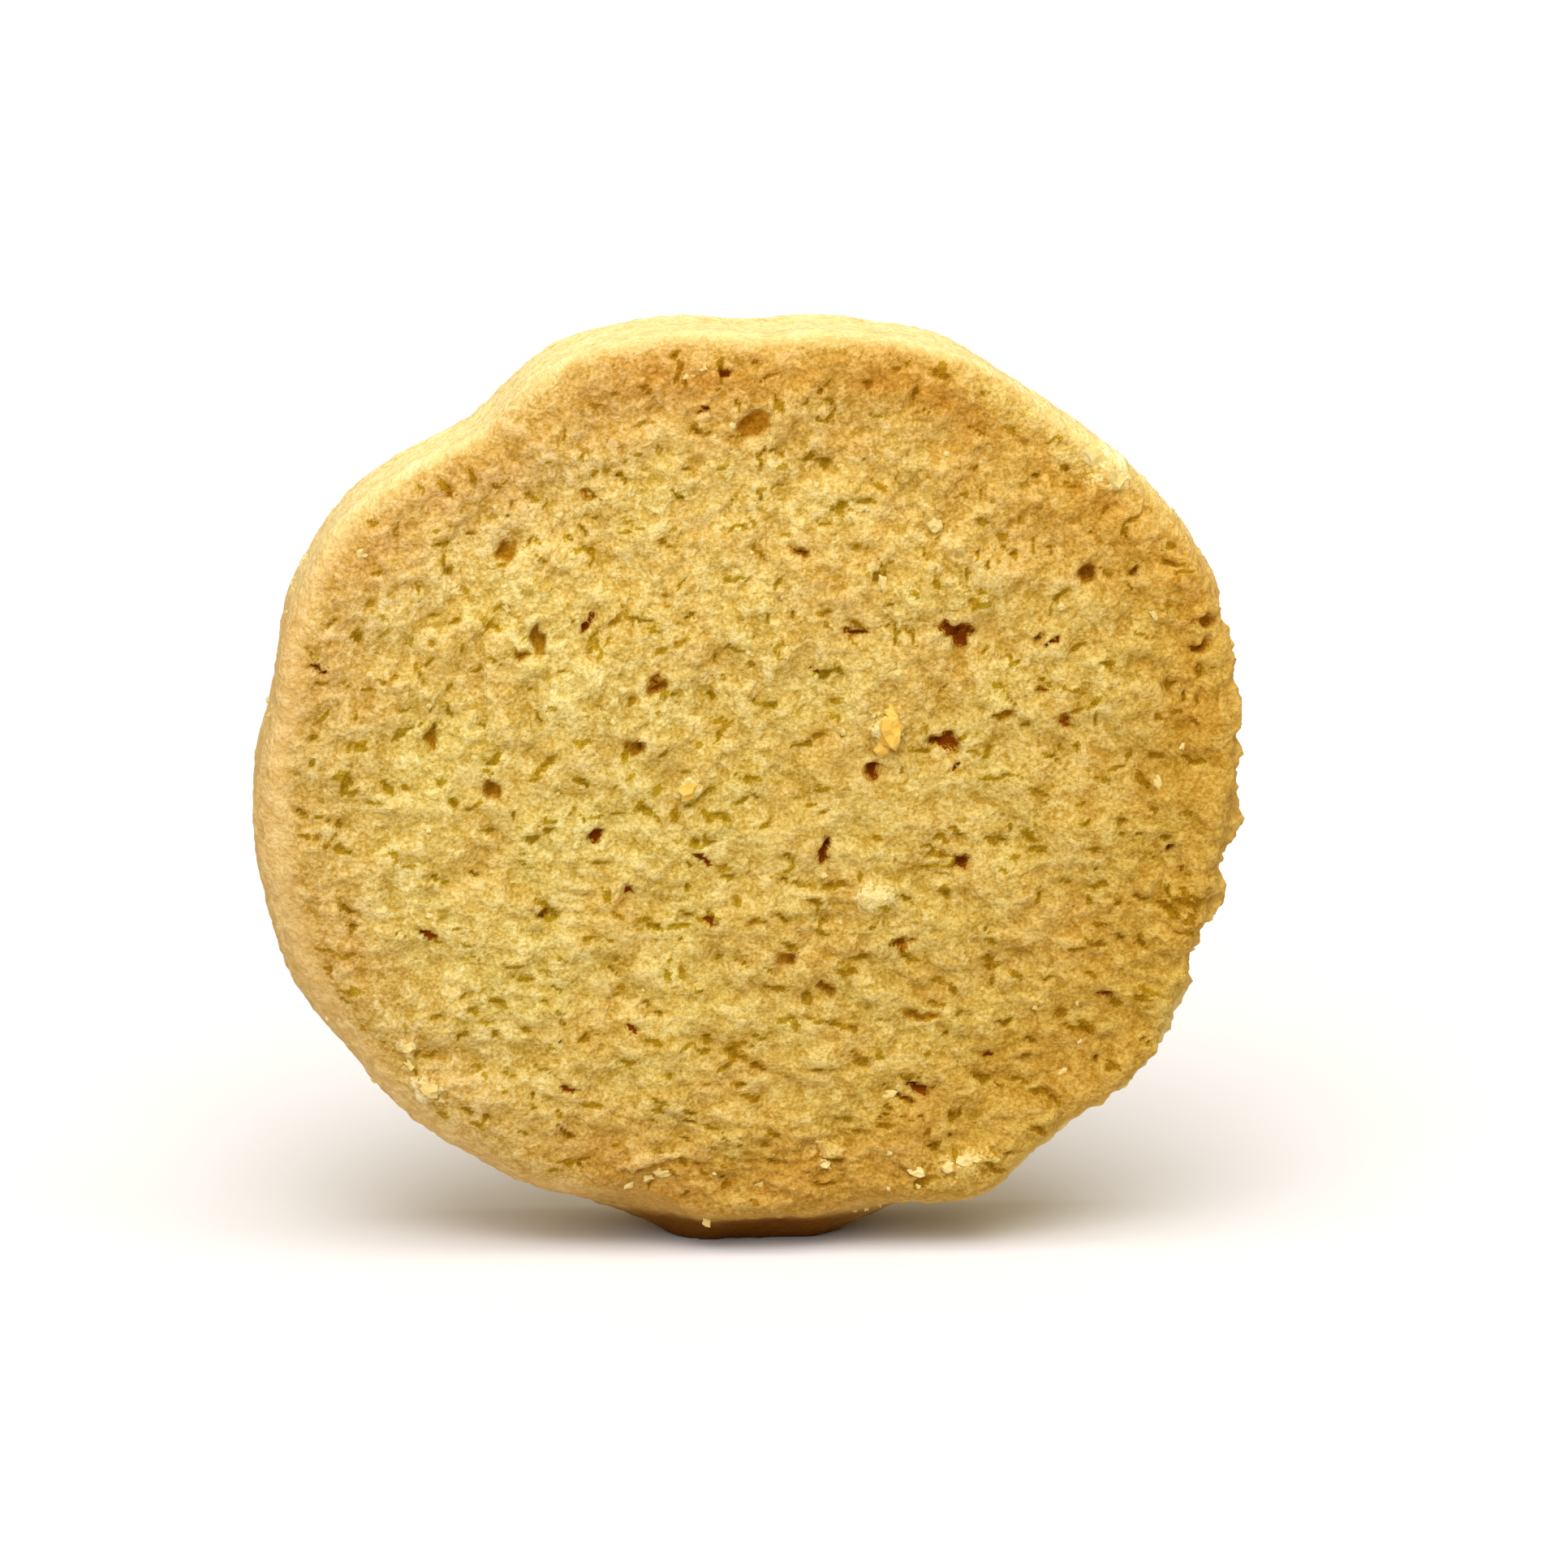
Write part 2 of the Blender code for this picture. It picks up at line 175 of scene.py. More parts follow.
BUTTER_BITS = (
    Crumb(x=7.3, z=3.1, width=1.3, height=1.5, turn=15),
    Crumb(x=6.9, z=2.1, width=0.9, height=1.0, turn=-30),
    Crumb(x=7.4, z=4.0, width=0.6, height=0.8, turn=40),
    Crumb(x=-3.4, z=0.0, width=1.1, height=0.8, turn=20),
)
CRUMB_SEED = 7
BUTTER_SEED = 3
CRUMB_ROUGHNESS = 0.8
CRUMB_DENTS = 3.5
CRUMB_TILT = 0.5
CRUMB_SUNK = 0.12
TOLD_CRUMB_DEPTH = 0.85

FACE_CRUMB_COUNT = 40
FACE_CRUMB_SIZES = (0.16, 0.34)
FACE_CRUMB_STRETCH = (0.8, 1.6)
FACE_CRUMB_DEPTH = 0.8

EDGE_CLUSTER_COUNT = 26
EDGE_CLUSTER_CRUMBS = (2, 6)
EDGE_CLUSTER_DEPTHS = (-5.6, 4.0)
EDGE_CLUSTER_TURN = 1.2
EDGE_CLUSTER_REACH = 0.5
EDGE_CRUMB_SIZES = (0.14, 0.42)
EDGE_CRUMB_STRETCH = (0.8, 1.7)
EDGE_CRUMB_SUNK = 0.2
LEFT_SHARE = 0.55
LEFT_MIDDLE = 195.0
LEFT_SPREAD = 34.0
RIGHT_MIDDLE = -5.0
RIGHT_SPREAD = 40.0

# Where the slope of a pore, mound or pit begins and ends, as shares of its half width
SLOPE_FROM = 0.35
SLOPE_TO = 1.25

# Relief shared with the solid
LUMP_SIZE = 3.2
LUMP_HEIGHT = 0.4
KNOB_SIZE = 1.5
KNOB_HEIGHT = 0.3
SWAY_SIZE = 9.0
SWAY_HEIGHT = 0.4
FACE_PRESSED_IN = 0.2
FACE_FROM = 0.4
FACE_TO = 1.7
SOFT_FACE_FROM = 0.9
SOFT_FACE_TO = 3.3
MARKS_FROM = 0.3
MARKS_TO = 0.8
BACK_SHARE = 0.4
BACK_SHIFT = Vector((310.0, 170.0, 230.0))
SKIN_RIPPLE_SIZE = 4.0
SKIN_RIPPLE_HEIGHT = 0.25
TORN_MIDDLE = -8
TORN_SPREAD = 34
TORN_SIZE = 1.9
TORN_DEPTH = 0.7
CHIP_ANGLE = 331
CHIP_SPREAD = 5
CHIP_DEPTH = 0.9
CHIP_FROM = 0.1
CHIP_TO = 0.6
LIP_ANGLE = 207
LIP_SPREAD = 26
LIP_WIDTH = 0.7
LIP_HEIGHT = 0.3

# Where crumb gives way to skin, inward from the rim; at the left, where the edge has slumped, the skin
# reaches farther in
CRUMBLY_FROM = 0.2
CRUMBLY_TO = 1.4
SLUMP_ANGLE = 190
SLUMP_SPREAD = 32

# The corner between face and side is fuller than its round, save at the lower left, where it has slumped
FULL_CORNER = 0.7
SOFT_ANGLE = 218
SOFT_SPREAD = 55

# Finer relief, which only the visual piece has: torn layers of crumb that end in low crisp steps, and the
# grains they are made of. Both run nearly level in the lower part of the face.
LAYER_SIZE = 1.7
LAYER_WAVES = ((1.0, 1.0), (2.7, 0.6), (6.1, 0.35))
LAYER_STEP = 0.08
LAYER_EDGES = (-0.34, -0.12, 0.1, 0.32)
LAYER_SHARPNESS = 0.035
STREAK_SLOPE = -14
STREAK_STRETCH = 1.7
STREAKS_WHOLE_BELOW = -6.0
STREAKS_END_ABOVE = 6.0
GRAIN_SIZE = 0.4
GRAIN_HEIGHT = 0.16
SKIN_GRAIN_SIZE = 0.6
SKIN_GRAIN_HEIGHT = 0.11
SKIN_GRAIN_OCTAVES = (1.0, 2.0, 3)
CRAG_SIZE = 1.3
CRAG_HEIGHT = 0.85
CRAG_OCTAVES = (0.8, 2.0, 3)

# Small holes and short cracks scattered over the cut face
PIT_SEED = 41
DASH_COUNT = 520
DASH_LENGTHS = (0.6, 1.7)
DASH_WIDTHS = (0.24, 0.36)
DASH_WIDER_BELOW = 0.14
DASH_TURN = -12.0
DASH_TURN_SPREAD = 16.0
DASH_TURN_SPREAD_ABOVE = 45.0
DASH_DEPTHS = (0.08, 0.22)
ABOVE_FROM = -4.0
ABOVE_TO = 8.0
HOLE_COUNT = 180
HOLE_LENGTHS = (0.4, 1.0)
HOLE_WIDTH_SHARES = (0.35, 0.7)
HOLE_DEPTHS = (0.08, 0.26)
# A few pits are deeper and take the painted shade of a dark core
DARK_CHANCE = 0.02
DARK_DEEPER = 0.3
PIT_CELL = 2.0
PIT_REACH = 1.4
PIT_WOBBLE_SIZE = 0.45
PIT_WOBBLE_REACH = 0.24
PIT_INSET = 1.3

# The underside of the foot rises toward the face, so the face ends above the table
RISE_HEIGHT = 2.2
RISE_ANGLE = 269
RISE_WHOLE = 8
RISE_ENDS = 28
RISE_FROM = -0.5
RISE_TO = -5.0
RISE_INSET = 9.0

# Deeper yellow-brown dough toward the right and the rim, and toward the foot partly as painted shade
RIGHTWARD_FROM = -12.0
RIGHTWARD_TO = 22.0
OUTER_FROM = 2.0
OUTER_TO = 9.0
LOWER_FROM = -22.0
LOWER_TO = 8.0
OFF_LEFT_FROM = -18.0
OFF_LEFT_TO = -2.0
GOLDEN_OUTER = 0.1
GOLDEN_OUTER_RIGHT = 0.55
GOLDEN_AND_SHADE_OUTER_LOWER = 0.5
GOLDEN_RIGHT = 0.4
GOLDEN_AND_SHADE_LOWER = 0.4

# Painted light, paler as if more lit: on the upward part of the skin and in the upper part of the face
LIT_SKIN_FROM = 0.1
LIT_SKIN_TO = 0.9
PALE_FROM = -2.0
PALE_TO = 16.0
BACK_BARENESS = 0.6

# The darker band just inside the top of the edge: partly a deeper bake, partly painted shade beneath the rim
BAND_ANGLE = 72
BAND_SPREAD = 62
BAND_INSET = 2.3
BAND_WIDTH = 0.9

# Painted highlights: paler stretches of the edge where it catches the light, which reach in from the rim
EdgeHighlight = namedtuple("EdgeHighlight", "angle spread whole_to ends_at share")
EDGE_HIGHLIGHTS = (
    EdgeHighlight(angle=316, spread=17, whole_to=0.3, ends_at=1.0, share=0.75),
    EdgeHighlight(angle=46, spread=17, whole_to=0.8, ends_at=3.6, share=0.85),
)

# Painted shade in the recess beneath the foot's front darkens its underside, beginning between these heights
FOOT_SHADE_FROM = -23.5
FOOT_SHADE_TO = -24.3
FOOT_SHADE_WHOLE_BEFORE = -1.0
FOOT_SHADE_ENDS_BEHIND = 2.0

# How the relief is read back as colour: height against the mean height round about
# Hollows come out darker and raised crumb paler: partly the crumb's own colour, partly painted shade
BLUR_ROUNDS = 12
RELIEF_SCALE = 0.3

# Meshing
OUTLINE_POINTS = 360
SHOULDER_STEPS = 8
WELD_REACH = 0.01
VOXEL = 0.38
FINE_BEFORE = -4.4

# Texture of the dough finer than the mesh, in millimetres; a raggedness is how far the cells' edges wander
PLATE_SIZE = 0.8
PLATE_RAGGEDNESS = 0.6
SPECK_SIZE = 0.3
SPECK_RAGGEDNESS = 0.22
FINE_SIZE = 0.2
TONE_SIZE = 5.0
MOTTLE_SIZE = 0.9
BUMP_SIZE = 0.26
BUMP_HEIGHT = 0.14
BUMP_STRENGTH = 0.85
LEVEL_WEIGHTS = (0.24, 0.20, 0.18, 0.34)
MOTTLE_WEIGHTS = (0.45, 0.3, 0.3)
BUMP_WEIGHTS = (1.0, 0.3, 0.4)
LOOSE_TONE_SIZE = 1.5
LOOSE_BUMP_SIZE = 0.2
LOOSE_BUMP_HEIGHT = 0.05
LOOSE_BUMP_STRENGTH = 0.6
RAGGED_SHARE = 0.8
CRISP_HALF_WIDTH = 0.06
SUBSURFACE_DEPTH = 0.3

# Colours of the dough, each with its place on a scale from low to high
CRUMB_COLOURS = (
    (0.23, (0.40, 0.26, 0.026)),
    (0.35, (0.485, 0.33, 0.067)),
    (0.45, (0.54, 0.395, 0.098)),
    (0.55, (0.60, 0.465, 0.14)),
    (0.71, (0.70, 0.59, 0.25)),
)
CRUST_COLOURS = ((0.2, (0.55, 0.37, 0.10)), (0.5, (0.64, 0.46, 0.15)), (0.85, (0.76, 0.60, 0.25)))
# Colours of the skin where painted light makes it paler
LIT_SKIN_COLOURS = ((0.2, (0.66, 0.50, 0.18)), (0.5, (0.76, 0.65, 0.28)), (0.85, (0.82, 0.74, 0.38)))
TAN_TINT = (0.94, 0.83, 0.72)
TINTS = (
    # Painted light on the upper face
    ("pale", (1.12, 1.09, 1.13)),
    # Deeper bake, with painted shade toward the foot
    ("golden", (0.81, 0.67, 0.40)),
    ("blush", (0.94, 0.875, 0.95)),
    # Partly a deeper bake, partly painted shade beneath the top rim
    ("band", (0.98, 0.84, 0.58)),
)
# Crisp tints: mounds paler crumb; holes darker partly by own olive colour, partly as painted shade; pores own
# colour
CRISP_TINTS = (
    ("mound", 0.4, (1.16, 1.28, 1.7)),
    ("hole", 0.5, (0.60, 0.51, 0.07)),
    ("pore", 0.4, (0.74, 0.52, 0.10)),
)
# Painted shade in the deep middles of the pores and of the few dark pits
CORE_EDGE = 0.54
CORE_SHADE_COLOUR = (0.22, 0.045, 0.001)
# Painted shade of the recess beneath the foot's front
FOOT_SHADE_COLOUR = (0.16, 0.055, 0.003)
LOOSE_CRUMB_COLOURS = ((0.58, 0.44, 0.15), (0.72, 0.60, 0.28))
BUTTER_COLOURS = ((0.62, 0.38, 0.06), (0.76, 0.53, 0.14))
TABLE_COLOURS = ((0.74, 0.745, 0.80), (0.76, 0.765, 0.82))
TABLE_PATCH_SIZE = 30.0
TABLE_SIDE = 12.0

# Camera, as the photograph frames the biscuit
PHOTO_SIDE = 1932
PHOTO_MM_PER_PIXEL = 0.0443
PHOTO_MIDDLE_OF_BISCUIT = (923, 950)
CAMERA_DISTANCE = 350.0
CAMERA_ELEVATION = 9.0
CAMERA_AZIMUTH = -4.0
SENSOR = 36.0

# Light: a wide one overhead, a softer one from the front left, and the pale room
Sun = namedtuple("Sun", "name elevation azimuth strength width")
SUNS = (
    Sun(name="overhead", elevation=66.0, azimuth=0.0, strength=2.4, width=60.0),
    Sun(name="front_window", elevation=36.0, azimuth=-10.0, strength=1.8, width=45.0),
)
ROOM_STRENGTH = 0.52
ROOM_COLOUR = (1.0, 0.83, 0.52, 1.0)


def smooth_step(low, high, value):
    """0 below low, 1 above high, and an even rise between them."""
    share = min(1.0, max(0.0, (value - low) / (high - low)))
    return share * share * (3.0 - 2.0 * share)


def bell(angle, middle, spread):
    """1 at the middle angle, falling off to both sides of it."""
    turn = (angle - middle + 180.0) % 360.0 - 180.0
    return math.exp(-((turn / spread) ** 2))


def rim_radius(angle):
    """How far the outline lies from the biscuit's middle at an angle, before the foot is flattened."""
    sine = math.sin(math.radians(angle))
    cosine = math.cos(math.radians(angle))
    radius = (WIDTH / 2) * (HEIGHT / 2) / math.hypot(HEIGHT / 2 * cosine, WIDTH / 2 * sine)
    radius += sum(swell.height * bell(angle, swell.angle, swell.spread) for swell in SWELLS)
    lowest = FOOT_BELOW_MIDDLE + FOOT_FLATTENED
    if -sine * radius > lowest:
        return -lowest / sine
    return radius


def make_slice():
    """The plain slice as a mesh: the outline, extruded, with its two edges rounded over."""
    curve = bpy.data.curves.new("slice_outline", "CURVE")
    curve.dimensions = "2D"
    curve.fill_mode = "BOTH"
    curve.extrude = THICKNESS / 2 - SHOULDER_RADIUS
    curve.bevel_depth = SHOULDER_RADIUS
    curve.bevel_resolution = SHOULDER_STEPS
    curve.offset = -SHOULDER_RADIUS
    spline = curve.splines.new("POLY")
    spline.points.add(OUTLINE_POINTS - 1)
    for i, point in enumerate(spline.points):
        angle = 360.0 * i / OUTLINE_POINTS
        radius = rim_radius(angle)
        point.co = (radius * math.cos(math.radians(angle)), radius * math.sin(math.radians(angle)), 0.0, 1.0)
    spline.use_cyclic_u = True

    outline = bpy.data.objects.new("slice_outline", curve)
    bpy.context.scene.collection.objects.link(outline)
    outline.rotation_euler = (math.radians(90.0), 0.0, 0.0)
    bpy.context.view_layer.update()
    graph = bpy.context.evaluated_depsgraph_get()
    mesh = bpy.data.meshes.new_from_object(outline.evaluated_get(graph))
    mesh.transform(outline.matrix_world)
    bpy.data.objects.remove(outline)

    welded = bmesh.new()
    welded.from_mesh(mesh)
    bmesh.ops.remove_doubles(welded, verts=welded.verts, dist=WELD_REACH)
    bmesh.ops.recalc_face_normals(welded, faces=welded.faces)
    welded.to_mesh(mesh)
    welded.free()
    return mesh


def remeshed(mesh):
    """The same form on an even grid of small faces, twice as fine over the cut face and its rim."""
    block = bpy.data.objects.new("slice_block", mesh)
    bpy.context.scene.collection.objects.link(block)
    grid = block.modifiers.new("even_grid", "REMESH")
    grid.mode = "VOXEL"
    grid.voxel_size = VOXEL
    graph = bpy.context.evaluated_depsgraph_get()
    even = bpy.data.meshes.new_from_object(block.evaluated_get(graph))
    bpy.data.objects.remove(block)

    finer = bmesh.new()
    finer.from_mesh(even)
    near = [edge for edge in finer.edges if max(edge.verts[0].co.y, edge.verts[1].co.y) < FINE_BEFORE]
    bmesh.ops.subdivide_edges(finer, edges=near, cuts=1, use_grid_fill=True, smooth=0.0)
    bmesh.ops.triangulate(finer, faces=[face for face in finer.faces if len(face.verts) > 4])
    finer.to_mesh(even)
    finer.free()
    return even


def lumps(point):
    """Height of the coarse lumps that the solid also has."""
    height = LUMP_HEIGHT * noise.noise(point / LUMP_SIZE) + KNOB_HEIGHT * noise.noise(point / KNOB_SIZE)
    return height + SWAY_HEIGHT * noise.noise(point / SWAY_SIZE)


def layered(point):
    """Height of the torn layers and of their grains."""
    rough = sum(share * noise.noise(finer * point / LAYER_SIZE) for finer, share in LAYER_WAVES)
    layers = sum(smooth_step(edge - LAYER_SHARPNESS, edge + LAYER_SHARPNESS, rough) for edge in LAYER_EDGES)
    return LAYER_STEP * layers + GRAIN_HEIGHT * noise.noise(point / GRAIN_SIZE)


def fine_crumb(point):
    """The torn layers, more and more drawn out into level streaks toward the foot."""
    turn = math.radians(STREAK_SLOPE)
    along = point.x * math.cos(turn) + point.z * math.sin(turn)
    over = point.z * math.cos(turn) - point.x * math.sin(turn)
    streaky = 1.0 - smooth_step(STREAKS_WHOLE_BELOW, STREAKS_END_ABOVE, point.z)
    even = layered(point) if streaky < 1.0 else 0.0
    drawn = layered(Vector((along / STREAK_STRETCH, point.y, over))) if streaky > 0.0 else 0.0
    return (1.0 - streaky) * even + streaky * drawn


Pit = namedtuple("Pit", "x z length width turn depth dark")


def cells_near(place):
    return range(math.floor((place - PIT_REACH) / PIT_CELL), math.floor((place + PIT_REACH) / PIT_CELL) + 1)


def scatter_pits():
    """The small holes and cracks, filed by the cells of a coarse grid that they reach."""
    draw = random.Random(PIT_SEED)
    cells = defaultdict(list)
    for i in range(DASH_COUNT + HOLE_COUNT):
        angle = draw.uniform(0.0, 360.0)
        away = math.sqrt(draw.random()) * (rim_radius(angle) - PIT_INSET)
        x = away * math.cos(math.radians(angle))
        z = away * math.sin(math.radians(angle))
        above = smooth_step(ABOVE_FROM, ABOVE_TO, z)
        if i < DASH_COUNT:
            length = draw.uniform(*DASH_LENGTHS)
            width = draw.uniform(DASH_WIDTHS[0], DASH_WIDTHS[1] + DASH_WIDER_BELOW * (1.0 - above))
            turn = draw.gauss(DASH_TURN, DASH_TURN_SPREAD + DASH_TURN_SPREAD_ABOVE * above)
            depth = draw.uniform(*DASH_DEPTHS)
        else:
            length = draw.uniform(*HOLE_LENGTHS)
            width = length * draw.uniform(*HOLE_WIDTH_SHARES)
            turn = draw.uniform(0.0, 180.0)
            depth = draw.uniform(*HOLE_DEPTHS)
        dark = 1.0 if draw.random() < DARK_CHANCE else 0.0
        pit = Pit(x, z, length, width, turn, depth + DARK_DEEPER * dark, dark)
        for column in cells_near(x):
            for row in cells_near(z):
                cells[column, row].append(pit)
    return cells


def oval_share(x, z, spot_x, spot_z, width, height, turn):
    """1 in the middle of an oval and 0 past its edge."""
    across = math.cos(math.radians(turn))
    rise = math.sin(math.radians(turn))
    dx = x - spot_x
    dz = z - spot_z
    along = (dx * across + dz * rise) / (width / 2)
    over = (dz * across - dx * rise) / (height / 2)
    return 1.0 - smooth_step(SLOPE_FROM, SLOPE_TO, math.hypot(along, over))


def pits_at(point, pits):
    """Depth of the scattered holes and cracks, and the shares of hole and of dark hole there."""
    wobble = PIT_WOBBLE_REACH * noise.noise_vector(point / PIT_WOBBLE_SIZE)
    x = point.x + wobble.x
    z = point.z + wobble.z
    depth = 0.0
    hole = 0.0
    dark = 0.0
    for pit in pits.get((math.floor(point.x / PIT_CELL), math.floor(point.z / PIT_CELL)), ()):
        share = oval_share(x, z, pit.x, pit.z, pit.length, pit.width, pit.turn)
        depth = max(depth, pit.depth * share)
        hole = max(hole, share)
        dark = max(dark, pit.dark * share)
    return depth, hole, dark


def marks_at(point):
    """Height of the mounds less depth of the pores, and the shares of mound, pore and dark core there."""
    wobble = MARK_WOBBLE_REACH * noise.noise_vector(point / MARK_WOBBLE_SIZE)
    x = point.x + wobble.x
    z = point.z + wobble.z
    height = 0.0
    mound = 0.0
    pore = 0.0
    core = 0.0
    for mark in MOUNDS:
        share = oval_share(x, z, mark.x, mark.z, mark.width, mark.height, mark.turn)
        mound = max(mound, share)
        height += mark.depth * share
    for mark in PORES:
        share = oval_share(x, z, mark.x, mark.z, mark.width, mark.height, mark.turn)
        pore = max(pore, share)
        core = max(core, mark.core * share)
        height -= mark.depth * share
    return height, mound, pore, core


def skin(point):
    """The smoother baked skin of the side."""
    ripple = SKIN_RIPPLE_HEIGHT * noise.noise(point / SKIN_RIPPLE_SIZE)
    return ripple + SKIN_GRAIN_HEIGHT * noise.fractal(point / SKIN_GRAIN_SIZE, *SKIN_GRAIN_OCTAVES)


def torn(point, angle):
    """Crags where the edge has crumbled, as a height below the skin."""
    share = bell(angle, TORN_MIDDLE, TORN_SPREAD)
    crags = CRAG_HEIGHT * noise.fractal(point / CRAG_SIZE, *CRAG_OCTAVES)
    return share * (crags - TORN_DEPTH * (0.5 - 0.5 * noise.noise(point / TORN_SIZE)))


def lip(angle, inset):
    """The low ridge between the face and the shoulder."""
    off_line = (inset - SHOULDER_RADIUS) / LIP_WIDTH
    return LIP_HEIGHT * bell(angle, LIP_ANGLE, LIP_SPREAD) * math.exp(-off_line * off_line)


def beside_foot(angle):
    """0 over the middle of the foot and 1 past both its ends."""
    return smooth_step(RISE_WHOLE, RISE_ENDS, abs((angle - RISE_ANGLE + 180.0) % 360.0 - 180.0))


def foot_rise(point):
    """1 at the front lower edge of the foot, and less behind, beside and above it."""
    angle = math.degrees(math.atan2(point.z, point.x))
    inset = rim_radius(angle) - math.hypot(point.x, point.z)
    front = 1.0 - smooth_step(RISE_TO, RISE_FROM, point.y)
    return front * (1.0 - beside_foot(angle)) * (1.0 - smooth_step(0.0, RISE_INSET, inset))


def under(point, height):
    """1 where the underside of the foot's front is painted dark as shade, and 0 away from it."""
    angle = math.degrees(math.atan2(point.z, point.x))
    low = 1.0 - smooth_step(FOOT_SHADE_TO, FOOT_SHADE_FROM, height)
    front = 1.0 - smooth_step(FOOT_SHADE_WHOLE_BEFORE, FOOT_SHADE_ENDS_BEHIND, point.y)
    return (1.0 - beside_foot(angle)) * low * front


def corner(angle, normal):
    """How far the corner between face or back and side stands out from its round."""
    both_ways = 2.0 * abs(normal.y) * math.hypot(normal.x, normal.z)
    return FULL_CORNER * (1.0 - bell(angle, SOFT_ANGLE, SOFT_SPREAD)) * both_ways * both_ways


# What the surface is like at one point: its height over the plain slice and what colours it
Surface = namedtuple("Surface", "height mound hole pore core skin golden blush cream band pale")


def tints_at(point, normal, angle, inset, on_face):
    """Shares of deeper bake and painted shade, blush, painted skin light, darker band and pale painted light.
    """
    rightward = smooth_step(RIGHTWARD_FROM, RIGHTWARD_TO, point.x)
    outer = 1.0 - smooth_step(OUTER_FROM, OUTER_TO, inset)
    lower = 1.0 - smooth_step(LOWER_FROM, LOWER_TO, point.z)
    off_left = smooth_step(OFF_LEFT_FROM, OFF_LEFT_TO, point.x)
    # Deeper bake toward the right and the rim; toward the foot partly painted shade
    golden = outer * (GOLDEN_OUTER + GOLDEN_OUTER_RIGHT * rightward + GOLDEN_AND_SHADE_OUTER_LOWER * lower * off_left)
    golden = golden + GOLDEN_RIGHT * rightward + GOLDEN_AND_SHADE_LOWER * lower * off_left
    # Painted light: the skin is paler where it faces up and along the edge highlights
    cream = smooth_step(LIT_SKIN_FROM, LIT_SKIN_TO, normal.z) * (1.0 - on_face)
    for edge in EDGE_HIGHLIGHTS:
        highlight = edge.share * bell(angle, edge.angle, edge.spread)
        cream = max(cream, highlight * (1.0 - smooth_step(edge.whole_to, edge.ends_at, inset)))
    golden = min(1.0, golden) * (1.0 - cream)
    blush = outer * (1.0 - rightward) * (1.0 - cream)
    # Darker band inside the top rim: partly a deeper bake, partly painted shade
    band = bell(angle, BAND_ANGLE, BAND_SPREAD) * math.exp(-(((inset - BAND_INSET) / BAND_WIDTH) ** 2))
    # The last share, pale, is painted light: the face paler toward the top
    return golden, blush, cream, band * (1.0 - cream), smooth_step(PALE_FROM, PALE_TO, point.z)


def surface_at(point, normal, pits):
    """The surface of the dressed slice over one point of the plain one."""
    angle = math.degrees(math.atan2(point.z, point.x))
    inset = rim_radius(angle) - math.hypot(point.x, point.z)
    soft = bell(angle, SOFT_ANGLE, SOFT_SPREAD)
    on_face = smooth_step(FACE_FROM + soft * (SOFT_FACE_FROM - FACE_FROM),
                          FACE_TO + soft * (SOFT_FACE_TO - FACE_TO), inset)
    on_side = skin(point) + torn(point, angle)
    tints = tints_at(point, normal, angle, inset, on_face)
    if normal.y >= 0.0:
        away = point + BACK_SHIFT
        height = (1.0 - on_face) * on_side
        height += on_face * BACK_SHARE * (lumps(away) + layered(away))
        height += corner(angle, normal)
        return Surface(height, 0.0, 0.0, 0.0, 0.0, 1.0 - BACK_BARENESS * on_face, *tints)
    on_side -= CHIP_DEPTH * bell(angle, CHIP_ANGLE, CHIP_SPREAD) * smooth_step(CHIP_FROM, CHIP_TO, -normal.y)
    depth, hole, dark = pits_at(point, pits)
    rise, mound, pore, core = marks_at(point)
    facing = smooth_step(MARKS_FROM, MARKS_TO, -normal.y)
    cut = on_face * (lumps(point) - FACE_PRESSED_IN + fine_crumb(point) - depth)
    marks = facing * (rise + lip(angle, inset))
    height = (1.0 - on_face) * on_side + cut + marks + corner(angle, normal)
    slumped = bell(angle, SLUMP_ANGLE, SLUMP_SPREAD)
    crumbly = smooth_step(CRUMBLY_FROM + slumped, CRUMBLY_TO + slumped, inset) * facing
    return Surface(height, facing * mound, crumbly * hole, facing * pore, max(facing * core, on_face * dark),
                   1.0 - crumbly, *tints)


def blurred(mesh, values):
    """The values at the points, each averaged with those of its neighbours again and again."""
    ends = numpy.empty(2 * len(mesh.edges), dtype=numpy.int64)
    mesh.edges.foreach_get("vertices", ends)
    first, second = ends[0::2], ends[1::2]
    count = 1.0 + numpy.bincount(first, minlength=len(values)) + numpy.bincount(second, minlength=len(values))
    for i in range(BLUR_ROUNDS):
        total = values + numpy.bincount(first, values[second], len(values))
        total += numpy.bincount(second, values[first], len(values))
        values = total / count
    return values


def push_relief(mesh):
    """Moves every point of the even grid by the relief there, and notes what colours the surface."""
    noise.seed_set(WOBBLE_SEED)
    pits = scatter_pits()
    places = [vertex.co.copy() for vertex in mesh.vertices]
    normals = [vertex.normal.copy() for vertex in mesh.vertices]
    found = [surface_at(place, normal, pits) for place, normal in zip(places, normals)]
    for vertex, place, normal, surface in zip(mesh.vertices, places, normals, found):
        moved = place + normal * surface.height
        moved.z = max(moved.z + RISE_HEIGHT * foot_rise(place), -FOOT_BELOW_MIDDLE)
        vertex.co = moved

    heights = numpy.array([surface.height for surface in found])
    over_mean = heights - blurred(mesh, heights)
    shares = {name: [getattr(surface, name) for surface in found] for name in Surface._fields[1:]}
    shares["under"] = [under(place, vertex.co.z) for place, vertex in zip(places, mesh.vertices)]
    shares["relief"] = numpy.clip(0.5 + over_mean / RELIEF_SCALE, 0.0, 1.0)
    for name, values in shares.items():
        layer = mesh.attributes.new(name, "FLOAT", "POINT")
        layer.data.foreach_set("value", values)


